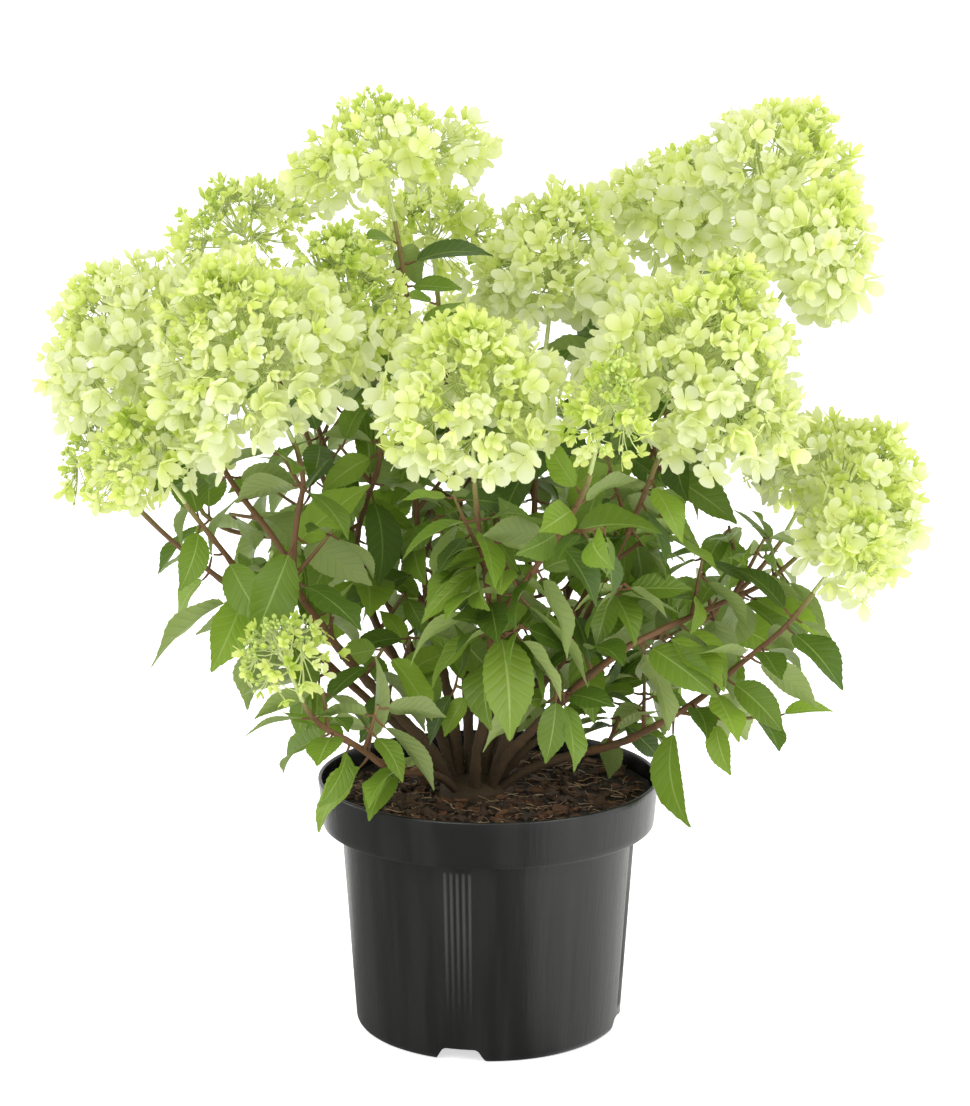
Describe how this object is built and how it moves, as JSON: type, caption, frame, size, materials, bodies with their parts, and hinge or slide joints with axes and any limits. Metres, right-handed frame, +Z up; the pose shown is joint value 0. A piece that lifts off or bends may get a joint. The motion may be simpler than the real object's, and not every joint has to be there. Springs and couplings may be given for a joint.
{
  "type": "potted panicle hydrangea",
  "caption": "Panicle hydrangea shrub with cream-lime flower heads and drooping green leaves, growing in a round black nursery pot with a deep collar.",
  "frame": {"origin": "centre of the pot's flat underside, on the surface that the pot stands on", "axes": "+Z up along the pot's axis, front of the plant towards -Y, +X to the right seen from the front"},
  "size_m": [0.6502, 0.5644, 0.7017],
  "materials": {
    "pot_plastic": "satin black recycled plastic with fine vertical mould marks",
    "potting_mix": "moist dark brown peat and bark mix with paler chips and fibres",
    "bark": "red-brown woody bark, greener towards the tips",
    "leaf": "mid-green toothed leaves with pale veins, paler underneath",
    "bloom": "cream to lime four-sepalled florets"
  },
  "bodies": {
    "root": {"bough_back": "bark", "bough_back_left": "bark", "bough_back_right": "bark", "bough_back_right_low": "bark", "bough_centre": "bark", "bough_centre_left": "bark", "bough_far_right": "bark", "bough_front": "bark", "bough_front_left": "bark", "bough_left": "bark", "bough_left_low": "bark", "bough_right": "bark", "bough_right_low": "bark", "bough_top_left": "bark", "bough_top_right": "bark", "foliage_back": "leaf", "foliage_back_left": "leaf", "foliage_back_right": "leaf", "foliage_back_right_low": "leaf", "foliage_centre": "leaf", "foliage_centre_left": "leaf", "foliage_far_right": "leaf", "foliage_front": "leaf", "foliage_front_left": "leaf", "foliage_left": "leaf", "foliage_left_low": "leaf", "foliage_right": "leaf", "foliage_right_low": "leaf", "foliage_top_left": "leaf", "foliage_top_right": "leaf", "panicle_back": "bloom", "panicle_back_centre": "bloom", "panicle_back_left": "bloom", "panicle_back_left_high": "bloom", "panicle_back_left_low": "bloom", "panicle_back_right": "bloom", "panicle_back_right_low": "bloom", "panicle_centre_back": "bloom", "panicle_centre_left": "bloom", "panicle_far_left": "bloom", "panicle_far_left_low": "bloom", "panicle_far_right": "bloom", "panicle_far_right_low": "bloom", "panicle_front": "bloom", "panicle_front_left_small": "bloom", "panicle_front_right_small": "bloom", "panicle_left": "bloom", "panicle_left_low": "bloom", "panicle_right": "bloom", "panicle_right_back": "bloom", "panicle_right_edge": "bloom", "panicle_top_left": "bloom", "panicle_top_right": "bloom", "pot": "pot_plastic", "soil": "potting_mix", "stool": "bark"}
  },
  "joints": []
}
